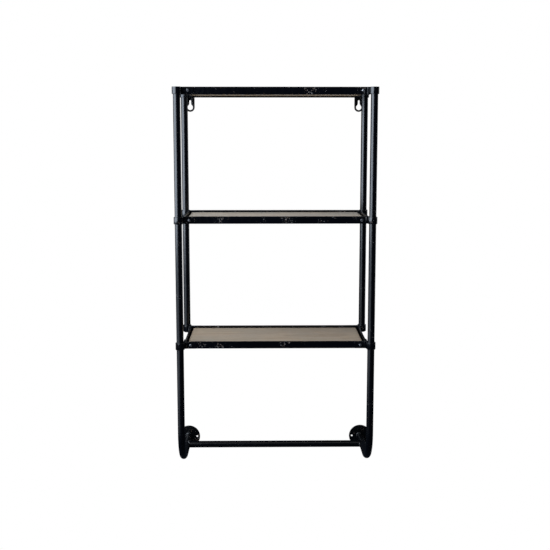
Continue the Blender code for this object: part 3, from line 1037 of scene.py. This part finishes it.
def recessCutter():
    # Two crossed wedges that narrow towards the bottom of the recess
    bm = bmesh.new()
    top, depth = screws["headHeight"] + 0.3 * mm, screws["recessDepth"]
    for turn in (0.0, pi / 2):
        rings = []
        for z, share in ((top, 1.0), (screws["headHeight"] - depth, 0.55)):
            reach, width = screws["recessReach"] * share, screws["recessWidth"] / 2 * (0.4 + 0.6 * share)
            corners = [(reach, -width), (reach, width), (-reach, width), (-reach, -width)]
            rings.append([
                bm.verts.new((x * cos(turn) - y * sin(turn), x * sin(turn) + y * cos(turn), z))
                for x, y in corners
            ])
        skin(bm, rings, capped=True)
    return meshObject("recessCutter", bm)


def makeScrewMesh():
    # The recess is cut once, and every screw shares the result
    blank = meshObject("screwBlank", screwBlank())
    cutter = recessCutter()
    cut = blank.modifiers.new("crossRecess", "BOOLEAN")
    cut.operation = "DIFFERENCE"
    cut.object = cutter
    cut.use_self = True
    graph = bpy.context.evaluated_depsgraph_get()
    mesh = bpy.data.meshes.new_from_object(blank.evaluated_get(graph), depsgraph=graph)
    mesh.name = "panScrew"
    mesh.shade_smooth()
    mesh.set_sharp_from_angle(angle=radians(34))
    mesh.materials.clear()
    mesh.materials.append(finishes["screwSteel"])
    bpy.data.objects.remove(blank)
    bpy.data.objects.remove(cutter)
    return mesh


def makeScrews():
    mesh = makeScrewMesh()
    number = 0
    for shelf in shelves:
        for row in rows:
            facing = 1 if row == "front" else -1
            for where in sides:
                node = f"{shelf}_screw_{row}_{where}"
                low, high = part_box(node)
                middle = (low + high) / 2
                seat = low.y + screws["headHeight"] if row == "front" else high.y - screws["headHeight"]
                piece = bpy.data.objects.new(f"{shelf}Screw_{row}_{where}", mesh)
                scene.collection.objects.link(piece)
                spin = Matrix.Rotation(radians(screws["turn"] * number % 360), 4, "Z")
                piece.matrix_world = placed(middle.x, seat, middle.z, facing * pi / 2, "X") @ spin
                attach(piece, "root")
                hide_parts(node)
                number += 1
    print("screws driven:", number)


makeScrews()


# Tube plugs

plugs = {
    "rim": 1.5 * mm, "stem": 8 * mm, "crown": 0.55 * mm, "edge": 0.15 * mm, "roundness": 72,
    "ribs": 3, "firstRib": 1.6 * mm, "ribPitch": 2.0 * mm, "ribRise": 0.25 * mm,
}


def plugMesh():
    rim, stem, crown, edge = plugs["rim"], plugs["stem"], plugs["crown"], plugs["edge"]
    inner = tubeRadius - posts["wall"] - seamGap
    profile = [(0.0, -stem), (inner - 0.5 * mm, -stem), (inner, 0.8 * mm - stem)]
    for i in range(plugs["ribs"]):        # ribs that grip the tube
        z = plugs["firstRib"] + i * plugs["ribPitch"] - stem
        profile += [(inner - plugs["ribRise"], z), (inner, z + 0.5 * mm), (inner, z + 1.1 * mm)]
    profile += [(inner, 0.0), (tubeRadius - edge, 0.0), (tubeRadius, edge)]
    side = rim - crown
    profile += [(tubeRadius - side * (1 - cos(t)), side * (0.45 + 0.55 * sin(t))) for t in quarterTurn(6)]
    shares = [1 - (k + 1) / 8 for k in range(8)]
    profile += [((tubeRadius - side) * share, side + crown * (1 - share ** 2)) for share in shares]
    return turned(profile, plugs["roundness"])


def addPlug(name, node, at):
    addPiece(name, plugMesh(), finishes["plugPlastic"], [node], at=at)


def makePlugs():
    for where, sign in sides.items():
        for row in rows:
            node = f"post_cap_{row}_{where}"
            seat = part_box(node)[1].z - plugs["rim"]
            addPlug(f"postCap_{row}_{where}", node, Matrix.Translation((sign * postX, rowY[row], seat)))
        node = f"back_post_plug_{where}"
        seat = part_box(node)[0].z + plugs["rim"]
        addPlug(f"postFoot_{where}", node, placed(sign * postX, rowY["back"], seat, pi, "X"))


makePlugs()
print("plugs pushed in")


# Floor, lights and surroundings

floor = {
    "drop": 1.76, "reach": 2.6, "fade": 1.6, "centreY": -1.55, "roundness": 96,
    "tone": (0.30, 0.30, 0.295),
    "glow": 0.72,        # stands for the light of an even, bright room
}
lights = {
    # name: middle, what it faces, width, height, power, colour, which pieces it falls on
    "windowLight": ((-1.10, -1.10, 0.44), (0.30, -0.90, 0.28), 2.3, 1.85, 96.0, (0.77, 0.87, 1.00), "all"),
    "windowLow": ((-1.10, -1.10, -0.79), (0.30, -0.90, -0.79), 2.3, 0.62, 5.0, (0.77, 0.87, 1.00), "posts"),
    "ceilingLight": ((0.10, -1.30, 1.70), (0.0, -0.10, -0.40), 1.6, 1.2, 4.5, (0.94, 0.96, 1.00), "all"),
    "ceilingGlow": ((0.10, -1.30, 1.70), (0.0, -0.10, -0.40), 1.6, 1.2, 10.5, (0.94, 0.96, 1.00), "boards"),
    "wallGlow": ((0.10, 1.70, 0.05), (0.0, 0.0, -0.10), 2.4, 0.9, 6.0, (0.80, 0.88, 1.00), "boards"),
    "underGlow": ((0.10, -1.10, -1.60), (0.0, -0.10, 0.0), 1.8, 1.0, 7.0, (1.00, 0.97, 0.92), "boards"),
    "cornerLight": ((1.45, 1.00, 0.10), (0.0, -0.10, -0.40), 1.0, 2.0, 6.0, (0.92, 0.96, 1.00), "all"),
}
surroundings = {"seen": (1.0, 1.0, 1.0), "cast": (0.013, 0.017, 0.026)}


def makeFloor():
    bm = bmesh.new()
    rings = [
        ringAt(bm, Vector(), rightward, inward, floor["reach"] * share, floor["roundness"])
        for share in (0.02, 0.25, 0.5, 0.75, 1.0)
    ]
    skin(bm, rings)
    bm.faces.new(rings[0])
    plane = meshObject("floor", bm)
    plane.location = (0.0, floor["centreY"], -floor["drop"])
    plane.visible_glossy = False
    material, tree, shader, place = newMaterial("paleFloor")
    coat = useGroup(tree, "unevenCoat", (-1000, 200), {"Vector": place, "Peel Size": 0.02})
    tone = blendOf(tree, (-500, 200), coat["Tone"], floor["tone"], tuple(0.97 * c for c in floor["tone"]))
    shader.inputs["Roughness"].default_value = 0.8
    shader.inputs["Emission Color"].default_value = (1.0, 1.0, 0.99, 1.0)
    shader.inputs["Emission Strength"].default_value = floor["glow"]
    radial = addNode(tree, "VectorMath", (-1000, -200), {0: place}, operation="LENGTH").outputs["Value"]
    fadeStart = floor["reach"] - floor["fade"]
    fade = rangeOf(tree, (-500, -200), radial, fadeStart, floor["reach"], 1.0, 0.0, smooth=True)
    linkInto(tree, shader, {"Base Color": tone, "Alpha": fade})
    plane.data.materials.append(material)


def makeLights():
    lit = {"boards": bpy.data.collections.new("litBoards"), "posts": bpy.data.collections.new("litPosts")}
    for shelf in shelves:
        lit["boards"].objects.link(bpy.data.objects[shelf + "Board"])
    for obj in list(scene.objects):
        if obj.name.startswith("postTube_"):
            lit["posts"].objects.link(obj)
    for name, (place, target, width, height, power, colour, group) in lights.items():
        data = bpy.data.lights.new(name, "AREA")
        data.shape = "RECTANGLE"
        data.size = width
        data.size_y = height
        data.energy = power
        data.color = colour
        lamp = bpy.data.objects.new(name, data)
        lamp.location = place
        lamp.rotation_euler = (Vector(target) - Vector(place)).to_track_quat("-Z", "Y").to_euler()
        lamp.visible_camera = False
        if group in lit:
            lamp.light_linking.receiver_collection = lit[group]
        scene.collection.objects.link(lamp)


def makeSurroundings():
    # White behind everything, and dark in reflections
    world = bpy.data.worlds.new("studio")
    world.use_nodes = True
    tree = world.node_tree
    tree.nodes.clear()
    rays = addNode(tree, "LightPath", (-600, 200))
    seen = addNode(tree, "Background", (-300, 100), {"Color": (*surroundings["seen"], 1.0)})
    cast = addNode(tree, "Background", (-300, -100), {"Color": (*surroundings["cast"], 1.0)})
    mixed = addNode(tree, "MixShader", (0, 0), {
        0: rays.outputs["Is Camera Ray"], 1: cast.outputs[0], 2: seen.outputs[0]})
    out = addNode(tree, "OutputWorld", (250, 0))
    linkInto(tree, out, {"Surface": mixed.outputs[0]})
    scene.world = world
    scene.view_settings.view_transform = "Standard"


makeFloor()
makeLights()
makeSurroundings()
print("studio lit")
